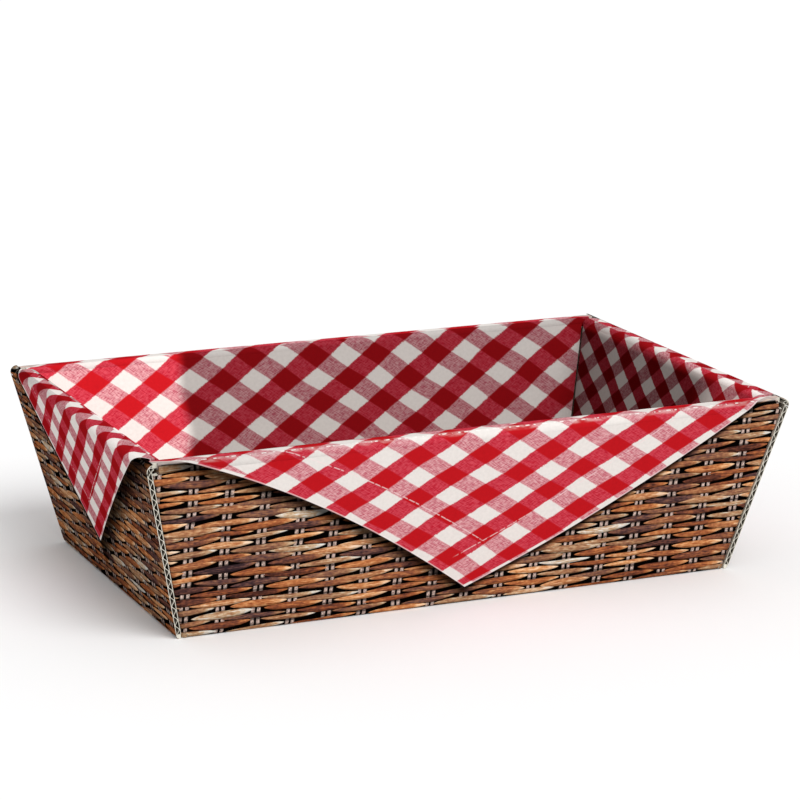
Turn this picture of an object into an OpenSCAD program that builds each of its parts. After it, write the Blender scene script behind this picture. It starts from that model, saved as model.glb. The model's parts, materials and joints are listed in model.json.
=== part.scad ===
// Folded corrugated-board bread basket: one creased blank, roll-over double walls, glued corner tabs.
// Millimetres, +Z up. Origin: centre of the footprint, on the surface the basket stands on.
// The long sides face -Y (front) and +Y (rear), the short sides face -X (left) and +X (right).

/* [Size] */
// Outside length over the rim
top_length = 410; // [360:1:480]
// Outside width over the rim
top_width = 264; // [220:1:320]
// Height over the rim
height = 111; // [90:1:130]
// How far each side leans out between floor and rim
lean = 26; // [10:1:40]

/* [Board] */
// Thickness of the corrugated board
board = 3; // [2.5:0.1:4]
// Pitch of the flutes
flute_pitch = 6.5; // [6:0.1:8]
// Thickness of the liner sheets
liner = 0.35; // [0.3:0.05:0.5]
// Thickness of the fluted sheet, measured across the board
flute_skin = 0.4; // [0.3:0.05:0.5]

/* [Rim] */
// Outside radius of the rounded creases
crease_r = 4; // [3.5:0.1:4.5]
// Distance between the two crease axes of the rim
rim_pitch = 5.2; // [5:0.1:8]
// Working clearance round each moving crease
crease_gap = 0.3; // [0.3:0.05:0.5]
// Clearance at the ends of the moving panels
end_gap = 0.6; // [0.5:0.05:1]

/* [Corner tabs] */
// Reach of each corner tab behind the end wall
tab_reach = 52; // [40:1:70]
// Clearance between corner tab and end wall, and between the end walls and the long walls
tab_gap = 0.2; // [0.1:0.05:0.3]
// Height left free between the corner tab and the rim
tab_drop = 8; // [7:0.5:12]
// Distance up the wall from its bottom edge to the corner tab
tab_foot = 6; // [4:0.5:8]
// How much the top edge of a corner tab drops towards its free end
tab_fall = 9; // [0:1:20]
// How much the bottom edge of a corner tab rises towards its free end
tab_rise = 6; // [0:1:20]
// How much shorter the bottom edge of a corner tab is than its top edge
tab_taper = 5; // [0:1:20]

/* [Locks] */
// Width of each lock tab on the long sides
long_lock_width = 38; // [30:1:50]
// Distance of the long side lock tabs from the middle
long_lock_offset = 92; // [70:1:110]
// Width of the lock tab on each end side
end_lock_width = 52; // [40:1:70]
// Depth of the lock tabs below the floor surface
lock_depth = 2.2; // [1.5:0.1:2.4]
// How much a lock tab narrows on each side towards its tip
lock_taper = 2.2; // [0:0.1:4]
// Clearance between a lock tab and each end of its slot
lock_play = 0.5; // [0.3:0.1:1]
// Slot width from front to back
slot_width = 8.65; // [8.5:0.05:10]
// Distance of the slot from the foot of the outer wall
slot_setback = 9.2; // [9:0.05:10]

/* [Hidden] */
base_length = top_length - 2 * lean;
base_width = top_width - 2 * lean;
wall_angle = atan2(height, lean);
sw = sin(wall_angle);
cw = cos(wall_angle);
slope = height / sw;
// Distance along the slope from the bottom edge to the base crease, and from the top edge to the rim crease
foot_run = board * tan(wall_angle / 2);
head_run = crease_r * tan((180 - wall_angle) / 2);
wall_head = slope - head_run;
// Horizontal set-in of the outer and the inner crease axis of the rim from the top edge
crease_out = crease_r * cw / sw + crease_r / sw;
crease_in = crease_out + rim_pitch;
crease_z = height - crease_r;
// Height of the crease axes over the inside face of the board
crease_skin = crease_r - board;
// Total set-in of the rim, from the top edge to its inside edge
rim_set = crease_in + crease_r;
// Horizontal distance from the outside face of a wall to the inside face of its inner wall
double_wall = 2 * crease_r / sw + rim_pitch;
// Clearance between the foot of an inner wall and the floor
floor_gap = 0.35;
// Length of an inner wall from its crease axis down to its foot
inner_run = (crease_z + crease_skin * cw - board - floor_gap) / sw;
tab_in = 2 * board + tab_gap;
corner_turn = atan2(lean * sqrt(2), height);
// Clearance between the glued corner creases and the sheets beside them
fold_gap = 0.05;
// Height of the lower end of the corner creases, and how far their upper end stays below the rim creases
fold_low = 4;
fold_drop = 1.6;
// Clearance at each end of a rim strip, and from a curled end of the rim to the outer corner
rim_end_gap = 0.4;
curl_end_gap = 1.05;
fine = 96;
flute_steps = 12;
ink_red = [0.78, 0.16, 0.16];
ink_wicker = [0.62, 0.42, 0.27];
plain_board = [0.78, 0.75, 0.68];

// ---- frames -------------------------------------------------------------

// Turns something drawn on the front side to another side: 0 front, 90 right, 180 rear, 270 left
module side(turn) {
  rotate([0, 0, turn]) children();
}

// Sloping plane of an outer wall: X along the wall, Y up the slope, Z outwards, zero on the outside face
module wall_plane(half) {
  translate([0, -half, 0])
    rotate([180 - wall_angle, 0, 0])
      children();
}

// Bar lying along the front side at the given depth and height
module bar_along_x(half_length, y, z, r) {
  translate([-half_length, y, z])
    rotate([0, 90, 0])
      cylinder(h = 2 * half_length, r = r, $fn = fine);
}

// ---- outer walls --------------------------------------------------------

// Half length of a long outer wall, up to the fold line of its corner tabs, at slope position v
function long_half(v) = base_length / 2 + (v + board * cw / sw) * cw - tab_in / sw;
// Half length of an end outer wall, out to the faces of the long walls
function end_half(v) = base_width / 2 + v * cw - tab_gap;

module long_outer_wall() {
  color(ink_wicker)
    difference() {
      wall_plane(base_width / 2)
        translate([0, 0, -board])
          linear_extrude(height = board)
            polygon([
              [-long_half(foot_run), foot_run],
              [long_half(foot_run), foot_run],
              [long_half(wall_head), wall_head],
              [-long_half(wall_head), wall_head]
            ]);
      crease_room(top_width / 2);
      corner_crease_line(board + fold_gap);
      mirror([1, 0, 0])
        corner_crease_line(board + fold_gap);
    }
}

// Room for the round rim crease along the top of an outer wall
module crease_room(half) {
  bar_along_x(top_length, -half + crease_out, crease_z, crease_r + crease_gap);
}

// Outline of an end outer wall
module end_outline() {
  polygon([
    [-end_half(foot_run), foot_run],
    [end_half(foot_run), foot_run],
    [end_half(wall_head), wall_head],
    [-end_half(wall_head), wall_head]
  ]);
}

// One liner sheet of an end outer wall, set in from the outside face
module end_liner(set_in, thickness) {
  difference() {
    wall_plane(base_length / 2)
      translate([0, 0, -set_in - thickness])
        linear_extrude(height = thickness)
          end_outline();
    crease_room(top_length / 2);
  }
}

// Centre line of the fluting across the board, as a function of slope position
function flute_mid(v) =
  -board / 2 + flute_swing * cos(360 * (v - foot_run) / flute_pitch + 180 / flute_steps);
flute_swing = (board / 2 - liner - flute_skin / 2) / cos(180 / flute_steps);
flute_count = ceil((slope - foot_run) * flute_steps / flute_pitch);

module fluting_profile() {
  step = flute_pitch / flute_steps;
  last = flute_count - 2;
  polygon(concat(
    [for (i = [0 : last]) [flute_mid(foot_run + i * step) + flute_skin / 2, foot_run + i * step]],
    [for (i = [last : -1 : 0]) [flute_mid(foot_run + i * step) - flute_skin / 2, foot_run + i * step]]
  ));
}

module end_fluting() {
  difference() {
    intersection() {
      wall_plane(base_length / 2)
        rotate([0, 90, 0])
          translate([0, 0, -top_width / 2])
            linear_extrude(height = top_width)
              fluting_turned();
      wall_plane(base_length / 2)
        translate([0, 0, -board])
          linear_extrude(height = board)
            end_outline();
    }
    crease_room(top_length / 2);
  }
}

// The fluting profile laid out for an extrusion along the wall
module fluting_turned() {
  mirror([1, 0, 0])
    fluting_profile();
}

// ---- base ---------------------------------------------------------------

module slot(turn, half, x, width) {
  side(turn)
    translate([x - width / 2 - lock_play, -half + slot_setback, -board])
      cube([width + 2 * lock_play, slot_width, 3 * board]);
}

module base_panel() {
  color(plain_board)
    difference() {
      translate([-base_length / 2 + foot_run, -base_width / 2 + foot_run, 0])
        cube([base_length - 2 * foot_run, base_width - 2 * foot_run, board]);
      for (x = [-long_lock_offset, long_lock_offset]) {
        slot(0, base_width / 2, x, long_lock_width);
        slot(180, base_width / 2, x, long_lock_width);
      }
      slot(90, base_length / 2, 0, end_lock_width);
      slot(270, base_length / 2, 0, end_lock_width);
    }
}

// Rounded outside corner between the base and a wall
module base_crease(half, half_length) {
  color(ink_wicker)
    translate([-half_length, -half + foot_run, board])
      rotate([90, 0, 90])
        linear_extrude(height = 2 * half_length)
          intersection() {
            circle(r = board, $fn = fine);
            polygon([[0, 0], [-2 * board * sw, -2 * board * cw], [-2 * board, -2 * board], [0, -2 * board]]);
          }
}

// ---- corner tabs --------------------------------------------------------

// Half width, at slope position v of the end wall, where a corner tab starts
function tab_half(v) = base_width / 2 + (v + tab_in * cw / sw) * cw - board / sw;

// Tab at the front end of the left side
module corner_tab() {
  low = tab_foot;
  high = slope - tab_drop - head_run;
  color(plain_board)
    difference() {
      side(270)
        wall_plane(base_length / 2)
          translate([0, 0, -tab_in])
            linear_extrude(height = board)
              polygon([
                [tab_half(low), low],
                [tab_half(high), high],
                [tab_half(high) - tab_reach, high - tab_fall],
                [tab_half(low) - tab_reach + tab_taper, low + tab_rise]
              ]);
      corner_crease_line(board + fold_gap);
    }
}

// Round crease between the front wall and its left corner tab
module corner_crease() {
  color(ink_wicker)
    corner_crease_line(board);
}

// Bar of the given radius along the sloping crease at the front left corner
module corner_crease_line(r) {
  high_z = height - 2 * crease_r - fold_drop;
  span = (high_z - fold_low) / cos(corner_turn);
  translate([fold_x(fold_low), fold_y(fold_low), fold_low])
    rotate([0, 0, 45])
      rotate([0, -corner_turn, 0])
        cylinder(h = span, r = r, $fn = fine);
}
function fold_x(z) = -base_length / 2 - z * cw / sw + tab_in / sw;
function fold_y(z) = -base_width / 2 - z * cw / sw + board / sw;

// ---- moving panels ------------------------------------------------------

// Round crease along the front side, full circle between the given ends
module rim_crease(half, set_in, half_length) {
  bar_along_x(half_length, -half + set_in, crease_z, crease_r);
}

// Rim strip of a long side, running the full length between the rounded tops of the end walls
module long_rim() {
  strip_half = top_length / 2 - crease_out - rim_end_gap;
  round_half = strip_half - crease_r * sin(2 * (90 - wall_angle));
  color(ink_red)
    union() {
      translate([-strip_half, -top_width / 2 + crease_out, height - board])
        cube([2 * strip_half, rim_pitch, board]);
      rim_crease(top_width / 2, crease_out, round_half);
      rim_crease(top_width / 2, crease_in, round_half);
    }
}

// Rim strip of an end side, between the long rims
module end_rim() {
  strip_half = top_width / 2 - rim_set - rim_end_gap;
  color(ink_red)
    union() {
      translate([-strip_half, -top_length / 2 + crease_out, height - board])
        cube([2 * strip_half, rim_pitch, board]);
      rim_crease(top_length / 2, crease_out, strip_half);
      rim_crease(top_length / 2, crease_in, strip_half);
    }
}

// Quarter-round top of an end wall beside the long rims, running on from its rim to both corners
module end_rim_ends() {
  inner_end = top_width / 2 - rim_set - rim_end_gap;
  length = top_width / 2 - curl_end_gap - inner_end;
  for (start = [inner_end, -inner_end - length])
    color(ink_wicker)
      translate([start, -top_length / 2 + crease_out, crease_z])
        rotate([90, 0, 90])
          linear_extrude(height = length)
            intersection() {
              circle(r = crease_r, $fn = fine);
              polygon([
                [0, 0],
                [0, 2 * crease_r],
                [-2 * crease_r, 2 * crease_r],
                [-2 * crease_r * sw, -2 * crease_r * cw]
              ]);
            }
}

// Half length of an inner wall at distance s down from its crease axis, between walls of the given half
function inner_half(half, s) = half - double_wall - (crease_r + s * sw - crease_skin * cw) * cw / sw - end_gap;

module inner_wall(half, other) {
  color(ink_red)
    difference() {
      inner_plane(half)
        linear_extrude(height = board)
          polygon([
            [-inner_half(other, 0), 0],
            [inner_half(other, 0), 0],
            [inner_half(other, inner_run), inner_run],
            [-inner_half(other, inner_run), inner_run]
          ]);
      bar_along_x(top_length, -half + crease_in, crease_z, crease_r + crease_gap);
    }
}

// Sloping plane of an inner wall: X along the wall, Y down the slope from the crease axis, Z into the basket
module inner_plane(half) {
  translate([0, -half + crease_in, crease_z])
    rotate([-wall_angle, 0, 0])
      translate([0, 0, crease_skin])
        children();
}

module lock_tab(half, x, width) {
  tip = inner_run + (lock_depth + floor_gap) / sw;
  inner_plane(half)
    translate([x, 0, 0])
      linear_extrude(height = board)
        polygon([
          [-width / 2, inner_run],
          [width / 2, inner_run],
          [width / 2 - lock_taper, tip],
          [-width / 2 + lock_taper, tip]
        ]);
}

module long_lock_tabs() {
  color(ink_red) {
    lock_tab(top_width / 2, -long_lock_offset, long_lock_width);
    lock_tab(top_width / 2, long_lock_offset, long_lock_width);
  }
}

module end_lock_tab() {
  color(ink_red)
    lock_tab(top_length / 2, 0, end_lock_width);
}

// ---- nodes --------------------------------------------------------------

long_crease_half = base_length / 2 - tab_in / sw;
end_crease_half = base_width / 2 - tab_gap;

base_panel();
side(0) base_crease(base_width / 2, long_crease_half);  // front_base_crease
side(180) base_crease(base_width / 2, long_crease_half);  // rear_base_crease
side(270) base_crease(base_length / 2, end_crease_half);  // left_base_crease
side(90) base_crease(base_length / 2, end_crease_half);  // right_base_crease
side(0) long_outer_wall();  // front_outer_wall
side(180) long_outer_wall();  // rear_outer_wall
side(270) color(ink_wicker) end_liner(0, liner);  // left_face_liner
side(270) color(plain_board) end_fluting();  // left_fluting
side(270) color(plain_board) end_liner(board - liner, liner);  // left_back_liner
side(90) color(ink_wicker) end_liner(0, liner);  // right_face_liner
side(90) color(plain_board) end_fluting();  // right_fluting
side(90) color(plain_board) end_liner(board - liner, liner);  // right_back_liner
corner_tab();  // front_left_corner_tab
mirror([1, 0, 0]) corner_tab();  // front_right_corner_tab
mirror([0, 1, 0]) corner_tab();  // rear_left_corner_tab
side(180) corner_tab();  // rear_right_corner_tab
corner_crease();  // front_left_corner_crease
mirror([1, 0, 0]) corner_crease();  // front_right_corner_crease
mirror([0, 1, 0]) corner_crease();  // rear_left_corner_crease
side(180) corner_crease();  // rear_right_corner_crease
side(0) long_rim();  // front_rim
side(180) long_rim();  // rear_rim
side(270) end_rim();  // left_rim
side(90) end_rim();  // right_rim
side(270) end_rim_ends();  // left_rim_ends
side(90) end_rim_ends();  // right_rim_ends
side(0) inner_wall(top_width / 2, top_length / 2);  // front_inner_wall
side(180) inner_wall(top_width / 2, top_length / 2);  // rear_inner_wall
side(270) inner_wall(top_length / 2, top_width / 2);  // left_inner_wall
side(90) inner_wall(top_length / 2, top_width / 2);  // right_inner_wall
side(0) long_lock_tabs();  // front_lock_tabs
side(180) long_lock_tabs();  // rear_lock_tabs
side(270) end_lock_tab();  // left_lock_tab
side(90) end_lock_tab();  // right_lock_tab
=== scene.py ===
"""Folded corrugated-board bread basket, printed like wicker with a gingham cloth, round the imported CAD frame.

The board is one printed blank. Every printed face carries the attribute "print": how far along its wall a
point lies, and how far down the blank from the sharp top edge of the outer wall, both in millimetres. The rim
and the inner wall have negative distances down. The materials draw the print from these two numbers.
"""
import json
import math

import bmesh
import bpy
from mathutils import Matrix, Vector


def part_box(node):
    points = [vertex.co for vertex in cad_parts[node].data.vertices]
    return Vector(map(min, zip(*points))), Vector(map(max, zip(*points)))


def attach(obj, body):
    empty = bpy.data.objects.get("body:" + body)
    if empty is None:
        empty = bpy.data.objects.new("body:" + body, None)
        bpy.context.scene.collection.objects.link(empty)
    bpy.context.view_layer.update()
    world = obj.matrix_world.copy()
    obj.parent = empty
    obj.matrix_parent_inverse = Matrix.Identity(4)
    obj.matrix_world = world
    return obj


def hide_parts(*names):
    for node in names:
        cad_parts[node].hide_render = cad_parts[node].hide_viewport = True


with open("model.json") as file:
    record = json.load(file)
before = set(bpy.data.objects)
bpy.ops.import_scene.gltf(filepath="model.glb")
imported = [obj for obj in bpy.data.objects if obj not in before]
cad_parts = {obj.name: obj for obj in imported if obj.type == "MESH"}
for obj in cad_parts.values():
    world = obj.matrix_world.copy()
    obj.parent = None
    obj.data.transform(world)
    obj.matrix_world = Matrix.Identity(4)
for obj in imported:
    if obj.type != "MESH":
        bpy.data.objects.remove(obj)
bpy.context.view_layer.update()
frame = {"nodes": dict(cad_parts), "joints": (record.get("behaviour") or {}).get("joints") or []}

# ---- sizes in metres, from the frame ---------------------------------------------------------------

MM = 0.001
JOINTS = {joint["name"]: joint for joint in frame["joints"]}
WALL_ANGLE = math.radians(JOINTS["front_flap_hinge"]["range_deg"][1])
SIN = math.sin(WALL_ANGLE)
COS = math.cos(WALL_ANGLE)
COT = COS / SIN
LEAN = math.pi / 2 - WALL_ANGLE

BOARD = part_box("base_panel")[1].z
CREASE_R = 4 * MM
LINER = 0.35 * MM
FLUTE_SKIN = 0.4 * MM
FLUTE_PITCH = 6.5 * MM
END_GAP = 0.6 * MM  # between the side edge of an inner wall and its neighbour
WALL_GAP = 0.2 * MM  # between the end walls and the long walls
SLIP = 0.02 * MM  # between a sheet and the round crease that turns under it
ROUND_GAP = 1.1 * MM  # past the corner crease, where the round crease of a long rim ends

AXIS_Z = JOINTS["front_rim_hinge"]["pos_m"][2]
HEIGHT = AXIS_Z + CREASE_R
SLOPE = HEIGHT / SIN
HEAD = CREASE_R / math.tan(WALL_ANGLE / 2)  # from the sharp top edge down to where the round crease begins
FOOT = SLOPE - BOARD * math.tan(WALL_ANGLE / 2)  # down to where the round base crease begins
INNER_RUN = (AXIS_Z + (CREASE_R - BOARD) * COS - BOARD - LINER) / SIN
TAB_IN = 2 * BOARD + WALL_GAP  # from the outside of an end wall to the inside of its corner tabs
ARC_STEPS = 16


class Side:
    """One side of the basket, with coordinates along the wall, outwards and up."""

    def __init__(self, name, turn):
        self.name = name
        self.turn = math.radians(turn)
        self.long = name in ("front", "rear")
        self.rim_axis = max(map(abs, JOINTS[f"{name}_rim_hinge"]["pos_m"][:2]))
        self.flap_axis = max(map(abs, JOINTS[f"{name}_flap_hinge"]["pos_m"][:2]))
        self.rim_width = self.rim_axis - self.flap_axis
        self.top = self.rim_axis + CREASE_R * COT + CREASE_R / SIN  # sharp top edge, from the middle
        self.base = self.top - HEIGHT * COT

    def place(self, along, out, up):
        c = math.cos(self.turn)
        s = math.sin(self.turn)
        return Vector((along * c + out * s, along * s - out * c, up))

    def outer(self, down, depth=0.0):
        """(out, up) on the outer wall: down the slope from the sharp top edge, depth in from the outside."""
        return self.top - down * COS - depth * SIN, HEIGHT - down * SIN + depth * COS

    def inner(self, down, depth=0.0):
        """(out, up) on the inner wall: down from the crease axis, depth behind the face towards the bread."""
        level = CREASE_R - depth
        return self.flap_axis - down * COS - level * SIN, AXIS_Z - down * SIN + level * COS


SIDES = [Side("front", 0), Side("right", 90), Side("rear", 180), Side("left", 270)]
FRONT, _, _, LEFT = SIDES

# Print distances where the outer crease ends, where the rim's flat ends, and where the inner wall begins
RIM_START = HEAD - CREASE_R * (math.pi / 2 + LEAN)
RIM_END = RIM_START - FRONT.rim_width
INNER_START = RIM_END - CREASE_R * WALL_ANGLE
# Print distance of the sharp top edge of an inner wall's inside face
INNER_EDGE = INNER_START + (HEIGHT - AXIS_Z - CREASE_R * COS) / SIN


def outer_half(side, down):
    """Half length of an outer wall at a distance down its slope."""
    up_slope = SLOPE - down
    if side.long:
        return LEFT.base + (up_slope + BOARD * COT) * COS - TAB_IN / SIN
    return FRONT.base + up_slope * COS - WALL_GAP


def inner_half(side, down):
    """Half length of an inner wall at a distance down from its crease axis."""
    other = LEFT if side.long else FRONT
    double_wall = 2 * CREASE_R / SIN + side.rim_width
    drop = CREASE_R + down * SIN - (CREASE_R - BOARD) * COS
    return other.top - double_wall - drop * COT - END_GAP


def span(low, high, steps):
    return [low + (high - low) * i / steps for i in range(steps + 1)]


# ---- shader arithmetic -----------------------------------------------------------------------------


class Field:
    """A value that varies over a surface. Its arithmetic builds shader nodes."""

    def __init__(self, tree, socket):
        self.tree = tree
        self.socket = socket

    def math(self, operation, *others):
        node = self.tree.nodes.new("ShaderNodeMath")
        node.operation = operation
        for value, target in zip((self, *others), node.inputs):
            feed(self.tree, value, target)
        return Field(self.tree, node.outputs[0])

    def __add__(self, other):
        return self.math("ADD", other)

    def __sub__(self, other):
        return self.math("SUBTRACT", other)

    def __rsub__(self, other):
        return self.math("MULTIPLY", -1.0).math("ADD", other)

    def __mul__(self, other):
        return self.math("MULTIPLY", other)

    def __truediv__(self, other):
        return self.math("DIVIDE", other)

    __radd__ = __add__
    __rmul__ = __mul__

    def abs(self):
        return self.math("ABSOLUTE")

    def round(self):
        return (self + 0.5).math("FLOOR")

    def power(self, exponent):
        return self.math("POWER", exponent)

    def root(self):
        return self.math("MAXIMUM", 0.0).math("SQRT")

    def least(self, other):
        return self.math("MINIMUM", other)

    def most(self, other):
        return self.math("MAXIMUM", other)

    def clamp(self):
        return self.most(0.0).least(1.0)

    def step(self, start, end):
        """0 before start and 1 after end, smooth between them. With end below start, it rises downwards."""
        node = self.tree.nodes.new("ShaderNodeMapRange")
        node.interpolation_type = "SMOOTHSTEP"
        rises = end > start
        feed(self.tree, self, node.inputs["Value"])
        node.inputs["From Min"].default_value = min(start, end)
        node.inputs["From Max"].default_value = max(start, end)
        node.inputs["To Min"].default_value = 0.0 if rises else 1.0
        node.inputs["To Max"].default_value = 1.0 if rises else 0.0
        return Field(self.tree, node.outputs["Result"])


def feed(tree, value, target):
    """Links a Field to a socket, or sets the socket to a number or a colour."""
    if isinstance(value, Field):
        tree.links.new(value.socket, target)
    elif isinstance(value, tuple):
        target.default_value = (*value, 1.0)
    else:
        target.default_value = value


def combine(tree, x, y, z):
    node = tree.nodes.new("ShaderNodeCombineXYZ")
    for value, target in zip((x, y, z), node.inputs):
        feed(tree, value, target)
    return Field(tree, node.outputs[0])


def separate(tree, vector):
    node = tree.nodes.new("ShaderNodeSeparateXYZ")
    tree.links.new(vector, node.inputs[0])
    return [Field(tree, socket) for socket in node.outputs]


def noise(x, y, seed, detail=1.0):
    """Smooth noise from 0 to 1, with one feature for each unit of x and of y."""
    node = x.tree.nodes.new("ShaderNodeTexNoise")
    node.inputs["Scale"].default_value = 1.0
    node.inputs["Detail"].default_value = detail
    feed(x.tree, combine(x.tree, x, y, float(seed)), node.inputs["Vector"])
    return Field(x.tree, node.outputs["Fac"])


def chance(x, y, seed):
    """A random number from 0 to 1 for each pair of whole numbers x and y."""
    node = x.tree.nodes.new("ShaderNodeTexWhiteNoise")
    feed(x.tree, combine(x.tree, x, y, float(seed)), node.inputs["Vector"])
    return Field(x.tree, node.outputs["Value"])


MIX_A, MIX_B, MIX_RESULT = 6, 7, 2  # sockets of the Mix node for colours


def mix(amount, first, second):
    """first where amount is 0 and second where it is 1. Each is a colour, fixed or varying."""
    node = amount.tree.nodes.new("ShaderNodeMix")
    node.data_type = "RGBA"
    feed(amount.tree, amount, node.inputs["Factor"])
    feed(amount.tree, first, node.inputs[MIX_A])
    feed(amount.tree, second, node.inputs[MIX_B])
    return Field(amount.tree, node.outputs[MIX_RESULT])


def shade(colour, amount):
    """A varying colour made darker or lighter by a varying amount."""
    node = colour.tree.nodes.new("ShaderNodeVectorMath")
    node.operation = "SCALE"
    feed(colour.tree, colour, node.inputs[0])
    feed(colour.tree, amount, node.inputs["Scale"])
    return Field(colour.tree, node.outputs[0])


def tint(colour, other):
    """A varying colour multiplied by another."""
    node = colour.tree.nodes.new("ShaderNodeVectorMath")
    node.operation = "MULTIPLY"
    feed(colour.tree, colour, node.inputs[0])
    feed(colour.tree, other, node.inputs[1])
    return Field(colour.tree, node.outputs[0])


def ramp(amount, stops):
    """The colour at a varying amount along (position, colour) stops."""
    node = amount.tree.nodes.new("ShaderNodeValToRGB")
    elements = node.color_ramp.elements
    while len(elements) < len(stops):
        elements.new(0.5)
    for element, (position, colour) in zip(elements, stops):
        element.position = position
        element.color = (*colour, 1.0)
    feed(amount.tree, amount, node.inputs[0])
    return Field(amount.tree, node.outputs[0])


def new_material(name, roughness):
    material = bpy.data.materials.new(name)
    material.use_nodes = True
    shader = material.node_tree.nodes["Principled BSDF"]
    shader.inputs["Roughness"].default_value = roughness
    shader.inputs["Specular IOR Level"].default_value = 0.0
    return material, material.node_tree, shader


def finish_material(shader, colour, bumps, depth):
    """Connects a colour, and bumps from 0 to 1 that stand depth metres high."""
    tree = colour.tree
    feed(tree, colour, shader.inputs["Base Color"])
    bump = tree.nodes.new("ShaderNodeBump")
    bump.inputs["Strength"].default_value = 1.0
    bump.inputs["Distance"].default_value = depth
    feed(tree, bumps, bump.inputs["Height"])
    tree.links.new(bump.outputs["Normal"], shader.inputs["Normal"])


def print_place(tree):
    """The two print coordinates, in millimetres: along the wall, and down the blank."""
    node = tree.nodes.new("ShaderNodeAttribute")
    node.attribute_name = "print"
    return separate(tree, node.outputs["Vector"])[:2]


# ---- the printed wicker, in millimetres ------------------------------------------------------------

WEAVER_COLOURS = (
    (0.0, (0.036, 0.017, 0.016)),
    (0.2, (0.115, 0.045, 0.034)),
    (0.42, (0.26, 0.094, 0.043)),
    (0.63, (0.43, 0.195, 0.083)),
    (0.82, (0.60, 0.37, 0.20)),
    (1.0, (0.74, 0.60, 0.46)),
)
COOL_CANE = (0.88, 1.05, 1.26)
WARM_CANE = (1.08, 0.88, 0.72)
WICKER_GAP = (0.010, 0.006, 0.005)
STAKE_COLOUR = (0.58, 0.43, 0.37)
TOP_LIGHT = 0.34  # how much lighter a weaver is along its upper edge than along its middle
STAKE_PAIR = 1.75  # half the distance between the two stakes of a pair
STAKE_HALF = 1.2  # half the width of a stake


class Weave:
    """A printed weave: the pitch of its rows and of its pairs of stakes, half the length and half the
    thickness of a weaver, and how light it is drawn. On the end walls this holds painted shade as well as the
    print's tone."""

    def __init__(self, row, stake, half, thick, light):
        self.row = row
        self.stake = stake
        self.half = half
        self.thick = thick
        self.light = light


def weaver(u, v, row, weave):
    """The nearest weaver of a row: how high its surface stands, its tone, the place across it and along it
    from -1 to 1, and its warmth. Each weaver passes in front of one pair of stakes and behind the next."""
    parity = row.math("FLOORED_MODULO", 2.0)
    column = ((u / weave.stake - parity) * 0.5).round() * 2.0 + parity
    lot = chance(column, row, 3)
    half = weave.half * (0.9 + 0.2 * chance(column, row, 4))
    run = (u - column * weave.stake - (lot - 0.5) * 3.0) / half
    lift = (chance(column, row, 7) - 0.5) * 1.4
    tilt = run * ((chance(column, row, 11) - 0.5) * 1.6 - 0.4)
    sag = (0.4 - run * run) * (1.3 * chance(column, row, 13))
    girth = (1.0 - run.abs().least(1.0).power(2.6)).power(0.9)
    thick = girth * weave.thick * (0.72 + 0.5 * lot)
    across = (v - row * weave.row - lift - (tilt + sag)) / thick.most(0.05)
    height = (1.0 - across * across).root() * thick
    tone = chance(row, row, 5) * 0.44 + chance(column, row, 6) * 0.44
    warmth = chance(column, row, 12)
    return height, tone, across, run, warmth


def wicker(u, v, weave):
    """Colour of the printed wicker: the highest weaver at a place, or the stakes and gaps behind it."""
    # The rows and the stakes wander a little
    u = u + (noise(u * 0.03, v * 0.03, 4) - 0.5) * 3.0
    v = v + (noise(u * 0.035, v * 0.035, 8) - 0.5) * 2.4
    middle_row = (v / weave.row).round()
    best = weaver(u, v, middle_row, weave)
    for offset in (-1.0, 1.0):
        found = weaver(u, v, middle_row + offset, weave)
        wins = found[0].math("GREATER_THAN", best[0])
        best = [old + (new - old) * wins for old, new in zip(best, found)]
    height, tone, across, run, warmth = best
    # Grain, patches and pale tips on each weaver, and lighter and darker regions of the wall
    grain = noise(u * 0.12, v * 1.7, 1, 2.5)
    patches = noise(u * 0.35, v * 0.6, 2, 2.0)
    tip = run.step(0.35, 0.95) * 0.42 + run.step(-0.7, -0.95) * 0.12
    region = noise(u * 0.011, v * 0.03, 9) - 0.5
    tone = tone + region * 0.7 + (grain - 0.5) * 1.1 + (patches - 0.5) * 0.65 + tip
    cane = ramp(tone.clamp(), WEAVER_COLOURS)
    cane = tint(cane, mix(warmth.step(0.15, 0.75), COOL_CANE, WARM_CANE))
    roundness = (1.0 - across * across).root()
    cane = shade(cane, 0.12 + 1.0 * roundness - TOP_LIGHT * across)
    # The stakes, in pairs, with nothing but dark between them
    from_pair = (u / weave.stake - (u / weave.stake).round()) * weave.stake
    stake = (from_pair.abs() - STAKE_PAIR) / STAKE_HALF
    from_row = ((v / weave.row - middle_row) * 2.0).abs()
    stake_light = (1.0 - stake * stake).root() * from_row.step(1.15, 0.2)
    stake_light = stake_light * (2.9 * noise(u * 1.3, v * 0.9, 6, 2.0) - 0.6)
    stake_shade = shade(mix(stake.abs().step(1.0, 0.8), WICKER_GAP, STAKE_COLOUR), stake_light.most(0.12))
    # weave.light: on the end walls this darkening is partly the print's tone and partly painted shade.
    return shade(mix(height.step(0.15, 0.6), stake_shade, cane), weave.light)


# ---- the printed cloth, in millimetres -------------------------------------------------------------

WHITE = (0.70, 0.657, 0.624)
RED = (0.435, 0.0083, 0.0125)
CRIMSON_DARK = (0.42, 0.012, 0.027)
CRIMSON_LIGHT = (0.555, 0.060, 0.085)
PINK_DARK = (0.43, 0.085, 0.120)
PINK_LIGHT = (0.66, 0.36, 0.37)
STITCH_COLOUR = (0.80, 0.62, 0.62)
CLOTH_EDGE_COLOUR = (0.80, 0.72, 0.70)
HEM = (2.2, 1.6)  # distances from the cloth's edge between which one set of red threads ends


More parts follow.
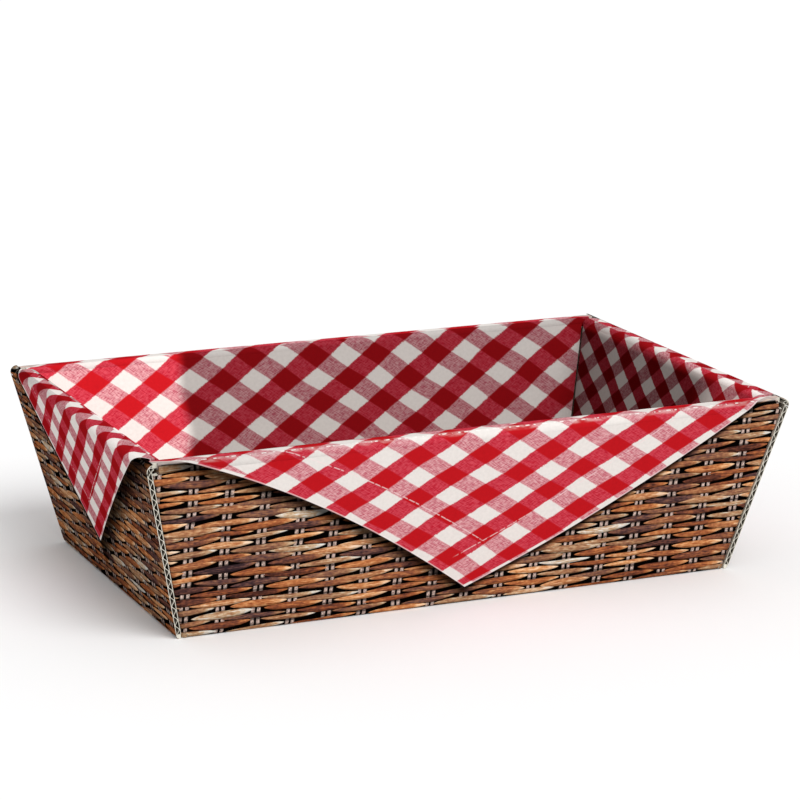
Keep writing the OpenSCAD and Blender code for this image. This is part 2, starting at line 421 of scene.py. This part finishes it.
class Checks:
    """Where the checks lie: the middle of one white check, and the way to the next one in two directions."""

    def __init__(self, origin, first, second):
        self.origin = origin
        self.first = first
        self.second = second

    def count(self, u, v):
        """How many pairs of checks a place lies from the first white one, in both directions."""
        (au, av), (bu, bv) = self.first, self.second
        area = au * bv - av * bu
        from_u = u - self.origin[0]
        from_v = v - self.origin[1]
        a = (from_u * bv - from_v * bu) * (1.0 / area)
        b = (from_v * au - from_u * av) * (1.0 / area)
        return a, b


def gingham(u, v, checks, light, hem_a=None, hem_b=None):
    """Colour of the checks. light is how bright its white and its red threads are drawn: the print's tone
    together with any painted light and shade that the caller gives.
    hem_a and hem_b are 1 in a hem, where only one set of threads is red."""
    u = u + (noise(u * 0.022, v * 0.022, 31) - 0.5) * 5.0
    v = v + (noise(u * 0.022, v * 0.022, 32) - 0.5) * 5.0
    a, b = checks.count(u, v)
    thread_a = noise(a * 7.0, b * 32.0, 21, 2.0)
    thread_b = noise(a * 32.0, b * 7.0, 22, 2.0)
    fuzz = (thread_a + thread_b - 1.0) * 0.05
    red_a = ((a - a.round()).abs() + fuzz).step(0.235, 0.265)
    red_b = ((b - b.round()).abs() + fuzz).step(0.235, 0.265)
    if hem_a:
        red_a = red_a * (1.0 - hem_a)
        red_b = red_b * (1.0 - hem_b)
    speckle = ((thread_a + thread_b - 1.0) * 2.2 + 0.5).clamp()
    pink = mix(speckle, PINK_DARK, PINK_LIGHT)
    crimson = mix(speckle, CRIMSON_DARK, CRIMSON_LIGHT)
    colour = mix(red_a, mix(red_b, WHITE, pink), mix(red_b, crimson, RED))
    white_light, red_light = light
    depth = white_light + (red_a + red_b) * (red_light - white_light) * 0.5
    return shade(colour, depth * (0.9 + 0.2 * noise(u * 0.5, v * 0.5, 23, 3.0)))


class Cloth:
    """How the printed corner of cloth lies on an outer wall.

    ends are the two places where its hems cross the top edge, tip is its lowest point, sags say how far each
    hem leaves a straight line, stitches how far above each hem its seam runs at the top and at the tip,
    shadows how far its printed shadow reaches from each hem, and light how bright white and red are drawn,
    which on the end walls holds painted shade as well as the print's tone.
    """

    def __init__(self, checks, light, ends, tip, sags, stitches, shadows):
        self.checks = checks
        self.light = light
        self.ends = ends
        self.tip = tip
        self.sags = sags
        self.stitches = stitches
        self.shadows = shadows

    def hems(self, u):
        """For each hem: its share of the way to the tip, and how far down it is."""
        found = []
        for end, sag in zip(self.ends, self.sags):
            share = (u - end) / (self.tip[0] - end)
            found.append((share, (share + share * (share - 1.0) * sag) * self.tip[1]))
        return found


def drape(u, v, cloth):
    """The cloth on an outer wall: its colour, where it lies, and how dark its shadow is on the wicker."""
    (share_left, left), (share_right, right) = cloth.hems(u)
    over_left = left - v
    over_right = right - v
    inside = over_left.least(over_right)
    colour = gingham(u, v, cloth.checks, cloth.light, over_right.step(*HEM), over_left.step(*HEM))
    for over, share, (top, tip) in zip((over_left, over_right), (share_left, share_right), cloth.stitches):
        seam = (over - top - share * (tip - top)).abs().step(0.6, 0.15) * share.step(1.06, 1.02)
        broken = noise(u * 0.45, v * 0.45, 41).step(0.40, 0.47)
        colour = mix(seam * broken * 0.6, colour, STITCH_COLOUR)
    edge = inside.step(1.1, 0.5)
    colour = mix(edge * 0.5, colour, CLOTH_EDGE_COLOUR)
    dark_left = over_left.step(-cloth.shadows[0], -0.2 * cloth.shadows[0])
    dark_right = over_right.step(-cloth.shadows[1], -0.2 * cloth.shadows[1])
    beyond_tip = (over_left - over_right).step(-8.0, 8.0)
    dark = dark_left + (dark_right - dark_left) * beyond_tip
    return colour, inside.step(-0.25, 0.25), dark


LONG_WEAVE = Weave(3.75, 22.0, 19.5, 2.15, 0.97)
# The end walls' weave is drawn darker: partly its printed tone, partly painted shade of walls that face away
# from the light.
END_WEAVE = Weave(3.9, 17.0, 15.0, 2.2, 0.68)
LONG_CLOTH = Cloth(
    Checks((-17.2, 12.9), (22.24, 14.96), (20.23, -12.56)),
    light=(1.0, 1.0),
    ends=(-181.0, 183.0),
    tip=(0.0, 103.3),
    sags=(0.38, -0.22),
    stitches=((20.0, 36.0), (34.0, 26.0)),
    shadows=(12.0, 5.0),
)
# The end walls' cloth has darker red threads: partly its printed tone, partly painted shade of walls that face
# away from the light.
END_CLOTH = Cloth(
    Checks((-3.3, 34.5), (16.8, 12.4), (18.6, -14.8)),
    light=(1.06, 0.68),
    ends=(-118.0, 110.0),
    tip=(-11.7, 86.0),
    sags=(0.02, 0.12),
    stitches=((24.0, 24.0), (28.0, 28.0)),
    shadows=(6.0, 26.0),
)
LONG_INNER = Checks((133.6, 14.3), (22.9, -17.0), (20.5, 14.1))
END_INNER = Checks((-57.0, 15.7), (17.9, 15.0), (17.9, -11.3))
CRACK_COLOUR = (0.87, 0.84, 0.80)
PALE_CANE = (0.66, 0.56, 0.52)
PALE_BAND = (160.0, 172.0)  # distances from the middle between which a long rim's print turns pale
SHADOW_DEPTH = 0.92


def crease_cracks(u, v, colour):
    """White board showing through the cracked ink along the outer crease, and a patchy paler band along it."""
    at_crease = (v + 0.6 + (noise(u * 0.2, u * 0.0, 52) - 0.5) * 1.2).abs().step(0.75, 0.25)
    broken = noise(u * 0.28, v * 0.0, 51, 3.0).step(0.48, 0.56)
    # A patchy paler band within a few millimetres of the crease
    crease_paling = (v + 0.4).abs().step(3.0, 0.5) * noise(u * 0.12, v * 0.3, 54, 3.0).step(0.35, 0.7) * 0.4
    return mix((at_crease * broken * 0.9).most(crease_paling), colour, CRACK_COLOUR)


def outer_colour(u, v, cloth, weave):
    """The print outside: wicker, the cloth over it, and the pale bands at the ends of the long rims."""
    colour, cover, dark = drape(u, v, cloth)
    cane = shade(wicker(u, v, weave), 1.0 - SHADOW_DEPTH * dark)
    if cloth is LONG_CLOTH:
        band = v.step(1.0, -0.5) * u.abs().step(*PALE_BAND)
        cane = mix(band * (0.35 + 0.7 * noise(u * 0.25, v * 0.9, 53, 2.0)).clamp(), cane, PALE_CANE)
        colour = crease_cracks(u, v, colour)
    return mix(cover, cane, colour)


def inner_colour(u, v, checks, fold):
    """The cloth on an inner wall, with its printed fold, and painted light and shade on either side of it.

    fold is the fold's place along the wall, half its width, how far down it begins, and how bright white and
    red are drawn before it and after it. The lit side carries painted light. The dark side carries the fold's
    printed shading together with a painted shadow of a smaller basket nested inside.
    """
    down = INNER_EDGE / MM - v
    place, width, start, before, after = fold
    bend = (noise(down * 0.03, down * 0.0, 61) - 0.5) * 16.0
    passed = (u - place + bend).step(-width, width) * down.step(start, start + 7.0)
    # light: brightness of white and red either side of the fold. One side has painted light; the other has
    # painted shade over the printed fold.
    light = [first + (second - first) * passed for first, second in zip(before, after)]
    return gingham(u, down, checks, light)


# The inner walls' cloth: a printed fold with painted light on its lit side, and a painted shadow over the
# fold's printed shading on its dark side. Each entry gives place, half width, start, and white and red
# brightness before and after the fold.
LONG_FOLD_SHADE = (96.0, 5.0, -30.0, (0.72, 0.42), (1.42, 1.58))
END_FOLD_SHADE = (-62.0, 24.0, 1.0, (1.15, 0.75), (0.42, 0.15))


PRINT_RELIEF = 0.03 * MM
BOARD_RELIEF = 0.1 * MM
BOARD_LIGHT = (0.66, 0.61, 0.52)
BOARD_DARK = (0.50, 0.46, 0.385)
SHEET_LIGHT = (0.82, 0.80, 0.76)
SHEET_DARK = (0.74, 0.72, 0.67)
SPECK_COLOUR = (0.20, 0.16, 0.12)
BLEED = 12.0  # how far the wicker runs on under the base, in millimetres


def flute_lines(place):
    """A wave from 0 to 1 with the pitch of the flutes, along a place in millimetres."""
    return (place * (2 * math.pi * MM / FLUTE_PITCH)).math("SINE") * 0.5 + 0.5


def washboard(u, v, side_is_long):
    """Relief of the flutes that show faintly through a liner sheet, with the paper's own unevenness."""
    wave = flute_lines(u if side_is_long else v)
    return wave * 0.45 + noise(u * 0.8, v * 0.8, 71, 3.0) * 0.3 + noise(u * 0.05, v * 0.05, 72) * 0.25


def print_material(name, side_is_long, outside, inside):
    """A printed face. The inside's checks begin where the rim turns in, if the face has both."""
    material, tree, shader = new_material(name, 0.4)
    u, v = print_place(tree)
    cloth = LONG_CLOTH if side_is_long else END_CLOTH
    weave = LONG_WEAVE if side_is_long else END_WEAVE
    checks = LONG_INNER if side_is_long else END_INNER
    fold = LONG_FOLD_SHADE if side_is_long else END_FOLD_SHADE
    if outside and inside:
        turned_in = v.step(RIM_END / MM + 0.5, RIM_END / MM - 0.5)
        colour = mix(turned_in, outer_colour(u, v, cloth, weave), inner_colour(u, v, checks, fold))
    elif outside:
        colour = outer_colour(u, v, cloth, weave)
    else:
        colour = inner_colour(u, v, checks, fold)
    finish_material(shader, colour, washboard(u, v, side_is_long), PRINT_RELIEF)
    return material


def mottle(cloud, fibre):
    """How far a place of the board is from its dark to its light colour."""
    return ((cloud - 0.5) * 0.9 + (fibre - 0.5) * 0.9 + 0.5).clamp()


def board_material(name, light, dark, fluted=True):
    """Unprinted grey board: mottled recycled fibre, and the faint lines where the flutes are glued."""
    material, tree, shader = new_material(name, 0.85)
    node = tree.nodes.new("ShaderNodeTexCoord")
    x, y, z = [place / MM for place in separate(tree, node.outputs["Object"])]
    cloud = noise(x * 0.04 + z * 0.03, y * 0.04 - z * 0.05, 81, 3.0)
    fibre = noise(x * 0.5 + z * 0.9, y * 2.0 + z * 0.7, 82, 4.0)
    speck = noise(x * 1.4 + z, y * 1.4 - z, 83).step(0.69, 0.74)
    colour = mix(speck * 0.5, mix(mottle(cloud, fibre), dark, light), SPECK_COLOUR)
    bumps = fibre * 0.5 + cloud * 0.5
    if fluted:
        line = flute_lines(x)
        colour = shade(colour, 0.95 + 0.07 * line)
        bumps = bumps * 0.5 + line * 0.5
    finish_material(shader, colour, bumps, BOARD_RELIEF)
    return material


def base_material():
    """The base: plain board above, and below it the white outer sheet, where the wicker runs on a little."""
    material, tree, shader = new_material("base", 0.8)
    node = tree.nodes.new("ShaderNodeTexCoord")
    x, y, z = [place / MM for place in separate(tree, node.outputs["Object"])]
    cloud = noise(x * 0.04, y * 0.04, 91, 3.0)
    fibre = noise(x * 0.5, y * 2.0, 92, 4.0)
    line = flute_lines(x)
    amount = mottle(cloud, fibre)
    above = shade(mix(amount, BOARD_DARK, BOARD_LIGHT), 0.95 + 0.07 * line)
    below = shade(mix(amount, SHEET_DARK, SHEET_LIGHT), 0.97 + 0.04 * line)
    from_long = FRONT.base / MM - y.abs()
    from_end = LEFT.base / MM - x.abs()
    nearer_end = from_end.math("LESS_THAN", from_long)
    start = (FOOT + BOARD * WALL_ANGLE) / MM
    # The end walls' weave carries their painted shade here too.
    cane = mix(nearer_end, wicker(x, from_long + start, LONG_WEAVE), wicker(y, from_end + start, END_WEAVE))
    below = mix(from_end.least(from_long).step(BLEED + 0.2, BLEED - 0.2), below, cane)
    colour = mix(z.step(0.4, 0.2), above, below)
    finish_material(shader, colour, fibre * 0.4 + line * 0.6, BOARD_RELIEF)
    return material


MATERIALS = {
    "long_outer": print_material("long_outer", True, True, False),
    "end_outer": print_material("end_outer", False, True, False),
    "long_rim": print_material("long_rim", True, True, True),
    "end_rim": print_material("end_rim", False, True, True),
    "long_inner": print_material("long_inner", True, False, True),
    "end_inner": print_material("end_inner", False, False, True),
    "base": base_material(),
    "board": board_material("board", BOARD_LIGHT, BOARD_DARK),
    "cut": board_material("cut", (0.76, 0.73, 0.64), (0.56, 0.53, 0.45), False),
    # hollow: near-black board on every face inside the board, the flutes and the liners' inner faces. It is
    # painted shade of the hollows, not the board's own colour.
    "hollow": board_material("hollow", (0.20, 0.18, 0.15), (0.12, 0.105, 0.085), False),
}

# ---- meshes ----------------------------------------------------------------------------------------

# Kinds of face: material slot, and whether it is shaded round
PRINTED = (0, False)
PRINTED_ROUND = (0, True)
CUT = (1, False)
CUT_ROUND = (1, True)
# BACK faces take a piece's third material. On the sheets inside the board that material is the painted shade of
# the hollows.
BACK = (2, False)
BACK_ROUND = (2, True)


class Form:
    """Closed shells gathered into one mesh, with material slots and print coordinates."""

    def __init__(self):
        self.mesh = bmesh.new()
        self.mark = self.mesh.loops.layers.float_vector.new("print")

    def face(self, corners, kind):
        made = self.mesh.faces.new([vertex for vertex, _ in corners])
        made.material_index, made.smooth = kind
        for loop, (_, mark) in zip(made.loops, corners):
            loop[self.mark] = (mark[0] / MM, mark[1] / MM, 0.0)

    def loft(self, rails, kinds, cap=CUT):
        """A closed tube through the rails, each a row of (point, print place), with a kind for each strip
        from one rail to the next."""
        grid = [[(self.mesh.verts.new(point), mark) for point, mark in rail] for rail in rails]
        count = len(grid)
        for i, kind in enumerate(kinds):
            near = grid[i]
            far = grid[(i + 1) % count]
            for c in range(len(near) - 1):
                self.face([near[c], near[c + 1], far[c + 1], far[c]], kind)
        self.face([rail[0] for rail in grid], cap)
        self.face([rail[-1] for rail in grid], cap)

    def make(self, name, body, nodes, materials):
        """Turns the shells into a piece that rides on a body and stands for CAD nodes."""
        bmesh.ops.recalc_face_normals(self.mesh, faces=self.mesh.faces[:])
        data = bpy.data.meshes.new(name)
        self.mesh.to_mesh(data)
        self.mesh.free()
        for material in materials:
            data.materials.append(MATERIALS[material])
        piece = bpy.data.objects.new(name, data)
        bpy.context.scene.collection.objects.link(piece)
        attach(piece, body)
        if nodes:
            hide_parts(*nodes)
        return piece


def bar(form, side, section, kinds, cap=CUT):
    """A bar along a side. section is a loop of (out, up, print distance, start, end)."""
    rails = []
    for out, up, down, start, end in section:
        rails.append([(side.place(x, out, up), (x, down)) for x in (start, end)])
    form.loft(rails, kinds, cap)


RELIEF_STEPS = 8


def relief(depth_from, depth_to):
    """(down, depth) points that leave room for the round crease at the head of a wall."""
    radius = CREASE_R + SLIP
    angles = [math.acos(min(1.0, (CREASE_R - depth) / radius)) for depth in (depth_from, depth_to)]
    return [(radius * math.sin(a), CREASE_R - radius * math.cos(a)) for a in span(*angles, RELIEF_STEPS)]


def wall_sheet(form, side, front, back, kinds, inner=False):
    """A sheet of a wall between two depths, from its round crease down to its foot. kinds: front and back."""
    head, foot = (0.0, INNER_RUN) if inner else (HEAD, FOOT)
    surface = side.inner if inner else side.outer
    half_at = inner_half if inner else outer_half
    start, sign = (INNER_START, -1) if inner else (0.0, 1)
    outline = [(foot, front), (foot, back)]
    outline += [(head + down, depth) for down, depth in reversed(relief(front, back))]
    section = []
    for down, depth in outline:
        out, up = surface(down, depth)
        half = half_at(side, down)
        section.append((out, up, start + sign * down, -half, half))
    bar(form, side, section, [CUT, kinds[1]] + [CUT] * (len(section) - 3) + [kinds[0]])


FLUTE_STEPS = 12
FLUTE_SWING = BOARD / 2 - LINER - FLUTE_SKIN / 2 - SLIP
FLUTE_ROOM = relief(BOARD / 2, BOARD / 2)[0][0] + FLUTE_SKIN  # from a wall's head to where its flutes begin
BACK_ROOM = relief(BOARD, BOARD)[0][0]


def flute_depth(place):
    """Depth of the middle of the fluted sheet at a place across the flutes."""
    return BOARD / 2 - FLUTE_SWING * math.cos(2 * math.pi * place / FLUTE_PITCH)


def fluted_outline(start, end):
    """(place, depth) round the cut edge of a fluted sheet, along the front of the sheet and back."""
    places = span(start, end, round(abs(end - start) / FLUTE_PITCH * FLUTE_STEPS))
    near = [(place, flute_depth(place) - FLUTE_SKIN / 2) for place in places]
    far = [(place, flute_depth(place) + FLUTE_SKIN / 2) for place in reversed(places)]
    return near + far


def level_flutes(form, side, inner=False):
    """Fluted sheet of an end wall, with its flutes level."""
    surface = side.inner if inner else side.outer
    half_at = inner_half if inner else outer_half
    head, foot = (0.0, INNER_RUN) if inner else (HEAD, FOOT)
    section = []
    for rise, depth in fluted_outline(foot - head - FLUTE_ROOM, 0.0):
        out, up = surface(foot - rise, depth)
        half = half_at(side, foot - rise)
        section.append((out, up, 0.0, -half, half))
    # Every face of the fluted sheet takes the third material, which here is the painted shade of the hollows.
    bar(form, side, section, [BACK_ROUND] * len(section))


def upright_flutes(form, side):
    """Fluted sheet of a long inner wall, with its flutes running down the wall."""
    half = inner_half(side, BACK_ROOM)
    foot_half = inner_half(side, INNER_RUN)
    places = fluted_outline(LINER - half, half - LINER)
    rails = []
    for x, depth in places:
        cut = max(0.0, abs(x) - foot_half) / (half - foot_half)
        foot = INNER_RUN - (INNER_RUN - BACK_ROOM) * cut
        rail = []
        for down in (BACK_ROOM, foot):
            out, up = side.inner(down, depth)
            rail.append((side.place(x, out, up), (x, 0.0)))
        rails.append(rail)
    # Every face of the fluted sheet takes the third material, which here is the painted shade of the hollows.
    form.loft(rails, [BACK_ROUND] * len(rails))


def outer_wall(side):
    """Outer wall of a side: one board on the long sides, three sheets on the ends, whose edges show."""
    face = Form()
    if side.long:
        wall_sheet(face, side, 0.0, BOARD, (PRINTED, BACK))
        face.make(f"{side.name}_wall_board", "tray", [f"{side.name}_outer_wall"],
                  ["long_outer", "cut", "board"])
        return
    wall_sheet(face, side, 0.0, LINER, (PRINTED, BACK))
    face.make(f"{side.name}_wall_face", "tray", [f"{side.name}_face_liner"],
              ["end_outer", "cut", "hollow"])
    flutes = Form()
    level_flutes(flutes, side)
    flutes.make(f"{side.name}_wall_flutes", "tray", [f"{side.name}_fluting"],
                ["board", "cut", "hollow"])
    back = Form()
    wall_sheet(back, side, BOARD - LINER, BOARD, (BACK, PRINTED))
    back.make(f"{side.name}_wall_back", "tray", [f"{side.name}_back_liner"],
              ["board", "cut", "hollow"])


def inner_wall(side):
    """Inner wall of a side: printed sheet, fluted sheet and back sheet."""
    kind = "long" if side.long else "end"
    body = f"{side.name}_flap"
    face = Form()
    wall_sheet(face, side, 0.0, LINER, (PRINTED, BACK), inner=True)
    face.make(f"{side.name}_inner_face", body, [f"{side.name}_inner_wall"],
              [f"{kind}_inner", "cut", "hollow"])
    flutes = Form()
    if side.long:
        upright_flutes(flutes, side)
    else:
        level_flutes(flutes, side, inner=True)
    flutes.make(f"{side.name}_inner_flutes", body, [], ["board", "cut", "hollow"])
    back = Form()
    wall_sheet(back, side, BOARD - LINER, BOARD, (BACK, PRINTED), inner=True)
    back.make(f"{side.name}_inner_back", body, [], ["board", "cut", "hollow"])


def arc_points(angles, axis, radius, up=AXIS_Z):
    """(out, up) points round a crease axis, with angles from straight outwards towards the top."""
    return [(axis + radius * math.cos(a), up + radius * math.sin(a)) for a in angles]


TUCK = math.radians(9)  # how far the print runs on round each crease of a rim, past the walls
UNDER_STEPS = 4


def rim(side):
    """Rim strip with the two round creases that it shares with the outer and the inner wall."""
    low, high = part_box(f"{side.name}_rim")
    strip_half = (high.x - low.x if side.long else high.y - low.y) / 2
    round_half = strip_half - (CREASE_R * math.sin(2 * LEAN) + ROUND_GAP if side.long else 0.0)
    waist = math.pi / 2 + math.asin(side.rim_width / 2 / CREASE_R)
    angles = span(-waist, -LEAN - TUCK, UNDER_STEPS)[:-1] + span(-LEAN - TUCK, math.pi / 2, 2 * ARC_STEPS)
    # Round the outer crease from below to the top, then over the inner crease and down
    section = []
    for a, (out, up) in zip(angles, arc_points(angles, side.rim_axis, CREASE_R)):
        section.append((out, up, HEAD - CREASE_R * (a + LEAN), -round_half, round_half))
    turned = [math.pi - a for a in reversed(angles)]
    for a, (out, up) in zip(turned, arc_points(turned, side.flap_axis, CREASE_R)):
        section.append((out, up, RIM_END - CREASE_R * (a - math.pi / 2), -round_half, round_half))
    under = [CUT_ROUND] * UNDER_STEPS
    arc = [PRINTED_ROUND] * (2 * ARC_STEPS)
    form = Form()
    bar(form, side, section[:-1], under + arc + [PRINTED] + arc + under, PRINTED)
    if side.long:
        # Beyond its round creases a long rim goes on as a flat plate, over the corner
        for start, end in ((-strip_half, -round_half), (round_half, strip_half)):
            plate = [
                (side.rim_axis, HEIGHT - BOARD, RIM_START, start, end),
                (side.rim_axis, HEIGHT, RIM_START, start, end),
                (side.flap_axis, HEIGHT, RIM_END, start, end),
                (side.flap_axis, HEIGHT - BOARD, RIM_END, start, end),
            ]
            bar(form, side, plate, [CUT, PRINTED, CUT, CUT], PRINTED)
    kind = "long" if side.long else "end"
    form.make(f"{side.name}_rim_fold", f"{side.name}_rim_strip", [f"{side.name}_rim"],
              [f"{kind}_rim", "cut"])


def curl_section(side, outline):
    """Section of a sheet that runs up an end wall's head and over its round top.
    outline is a loop of (run, depth), where run is how far past the wall's head the sheet has come."""
    section = []
    for run, depth in outline:
        if run < 0:
            out, up = side.outer(HEAD - run, depth)
        else:
            angle = run / CREASE_R - LEAN
            (out, up), = arc_points([angle], side.rim_axis, CREASE_R - depth)
        section.append((out, up, HEAD - run))
    return section


def rim_ends(side):
    """The curled top of an end wall beside the long rims, with its cut edge of three sheets."""
    low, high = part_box(f"{side.name}_rim_ends")
    outer_end = (high.y - low.y) / 2
    inner_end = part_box(f"{side.name}_rim")[1].y
    turn = CREASE_R * (math.pi / 2 + LEAN)
    sheets = (
        (0.0, LINER, 0.0, (PRINTED_ROUND, BACK_ROUND)),
        (BOARD - LINER, BOARD, BACK_ROOM, (BACK_ROUND, BACK_ROUND)),
    )
    outlines = []
    for front, back, room, kinds in sheets:
        runs = ([-room] if room else []) + span(0.0, turn, ARC_STEPS)
        outline = [(run, front) for run in runs] + [(run, back) for run in reversed(runs)]
        strip = [kinds[0]] * (len(runs) - 1) + [CUT]
        outlines.append((outline, strip + [kinds[1]] * (len(runs) - 1) + [CUT]))
    to_foot = FOOT - HEAD
    waves = fluted_outline(to_foot - FLUTE_ROOM, to_foot + turn)
    outlines.append(([(place - to_foot, depth) for place, depth in waves], [BACK_ROUND] * len(waves)))
    form = Form()
    for outline, kinds in outlines:
        for sign in (-1, 1):
            section = []
            for out, up, down in curl_section(side, outline):
                end = min(outer_half(side, down), outer_end)
                section.append((out, up, down, *sorted((sign * inner_end, sign * end))))
            bar(form, side, section, kinds)
    form.make(f"{side.name}_rim_curl", "tray", [f"{side.name}_rim_ends"],
              ["end_outer", "cut", "hollow"])


def base_fold(side):
    """Round crease between the base and a wall."""
    half = LEFT.base - TAB_IN / SIN if side.long else FRONT.base - WALL_GAP
    axis = side.base - BOARD * math.tan(WALL_ANGLE / 2)
    angles = span(-LEAN, -math.pi / 2, ARC_STEPS)
    section = [(axis, BOARD, FOOT, -half, half)]
    for a, (out, up) in zip(angles, arc_points(angles, axis, BOARD, BOARD)):
        section.append((out, up, FOOT - BOARD * (a + LEAN), -half, half))
    form = Form()
    bar(form, side, section, [CUT] + [PRINTED_ROUND] * ARC_STEPS + [CUT])
    kind = "long" if side.long else "end"
    form.make(f"{side.name}_base_fold", "tray", [f"{side.name}_base_crease"],
              [f"{kind}_outer", "cut"])


CORNER_LOW = 1.2 * MM  # height of the lower end of a corner crease
CORNER_HIGH = 105.6 * MM  # height of its upper end, just under the rim


def corner_fold(name, along_x, along_y):
    """Round crease between a long wall and its corner tab. along_x and along_y are -1 or 1."""
    normals = (Vector((0.0, along_y * SIN, -COS)), Vector((along_x * SIN, 0.0, -COS)))
    turn = normals[0].angle(normals[1])
    flip = -1 if along_y > 0 else 1  # print places run the other way along the rear
    rails = []
    for share in [None] + span(0.0, 1.0, ARC_STEPS):
        rail = []
        for z in (CORNER_LOW, CORNER_HIGH):
            axis_x = LEFT.base + z * COT - TAB_IN / SIN
            point = Vector((along_x * axis_x, along_y * (FRONT.base + z * COT - BOARD / SIN), z))
            place = axis_x
            if share is not None:
                point = point + normals[0].slerp(normals[1], share) * BOARD
                place = axis_x + BOARD * turn * share
            rail.append((point, (flip * along_x * place, SLOPE - (z - BOARD * COS) / SIN)))
        rails.append(rail)
    form = Form()
    form.loft(rails, [CUT] + [PRINTED_ROUND] * ARC_STEPS + [CUT])
    form.make(f"{name}_corner_fold", "tray", [f"{name}_corner_crease"], ["long_outer", "cut"])


LONG_LOCK_PLACES = (-92 * MM, 92 * MM)
LONG_LOCK_HALF = 19 * MM
END_LOCK_HALF = 26 * MM
LOCK_TAPER = 2.2 * MM  # how much each side of a lock tab comes in towards its tip


def lock_tabs(side):
    """Tabs at the foot of an inner wall, which drop into the slots of the base."""
    node = f"{side.name}_lock_tabs" if side.long else f"{side.name}_lock_tab"
    tip = INNER_RUN + (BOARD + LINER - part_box(node)[0].z) / SIN
    half = LONG_LOCK_HALF if side.long else END_LOCK_HALF
    form = Form()
    for middle in LONG_LOCK_PLACES if side.long else (0.0,):
        section = []
        for down, depth in ((INNER_RUN, 0.0), (tip, 0.0), (tip, BOARD), (INNER_RUN, BOARD)):
            out, up = side.inner(down, depth)
            reach = half - (LOCK_TAPER if down == tip else 0.0)
            section.append((out, up, INNER_START - down, middle - reach, middle + reach))
        bar(form, side, section, [PRINTED, CUT, BACK, CUT])
    kind = "long" if side.long else "end"
    form.make(f"{node}_printed", f"{side.name}_flap", [node],
              [f"{kind}_inner", "cut", "board"])


for each_side in SIDES:
    outer_wall(each_side)
    inner_wall(each_side)
    rim(each_side)
    base_fold(each_side)
    lock_tabs(each_side)
    if not each_side.long:
        rim_ends(each_side)
for long_name, y_sign in (("front", -1), ("rear", 1)):
    for end_name, x_sign in (("left", -1), ("right", 1)):
        corner_fold(f"{long_name}_{end_name}", x_sign, y_sign)

for node_name, node in frame["nodes"].items():
    if not node.hide_render:
        for slot in node.material_slots:
            slot.material = MATERIALS["base" if node_name == "base_panel" else "board"]

# ---- camera, light and floor -----------------------------------------------------------------------

VIEW_YAW = math.radians(23.554)
VIEW_PITCH = math.radians(13.834)
VIEW_ROLL = math.radians(0.2507)

camera_data = bpy.data.cameras.new("camera")
camera_data.lens = 138.51
camera = bpy.data.objects.new("camera", camera_data)
camera.location = (-0.73202, -1.68639, 0.55209)
camera.rotation_euler = (math.pi / 2 - VIEW_PITCH, -VIEW_ROLL, -VIEW_YAW)
bpy.context.scene.collection.objects.link(camera)
bpy.context.scene.camera = camera

sun_data = bpy.data.lights.new("sun", "SUN")
sun_data.energy = 2.1
sun_data.angle = math.radians(40)
sun = bpy.data.objects.new("sun", sun_data)
sun.rotation_euler = Vector((-0.15, 0.7, -0.75)).to_track_quat("-Z", "Y").to_euler()
bpy.context.scene.collection.objects.link(sun)

world = bpy.data.worlds.new("studio")
world.use_nodes = True
world.node_tree.nodes["Background"].inputs["Color"].default_value = (1.0, 1.0, 1.0, 1.0)
world.node_tree.nodes["Background"].inputs["Strength"].default_value = 0.66
bpy.context.scene.world = world
bpy.context.scene.view_settings.view_transform = "Standard"

FLOOR_HALF = 20.0
floor_data = bpy.data.meshes.new("floor")
floor_corners = [(x * FLOOR_HALF, y * FLOOR_HALF, 0.0) for x, y in ((-1, -1), (1, -1), (1, 1), (-1, 1))]
floor_data.from_pydata(floor_corners, [], [(0, 1, 2, 3)])
floor = bpy.data.objects.new("floor", floor_data)
floor_material, _, floor_shader = new_material("floor", 0.9)
floor_shader.inputs["Base Color"].default_value = (0.9, 0.9, 0.9, 1)
floor_data.materials.append(floor_material)
bpy.context.scene.collection.objects.link(floor)
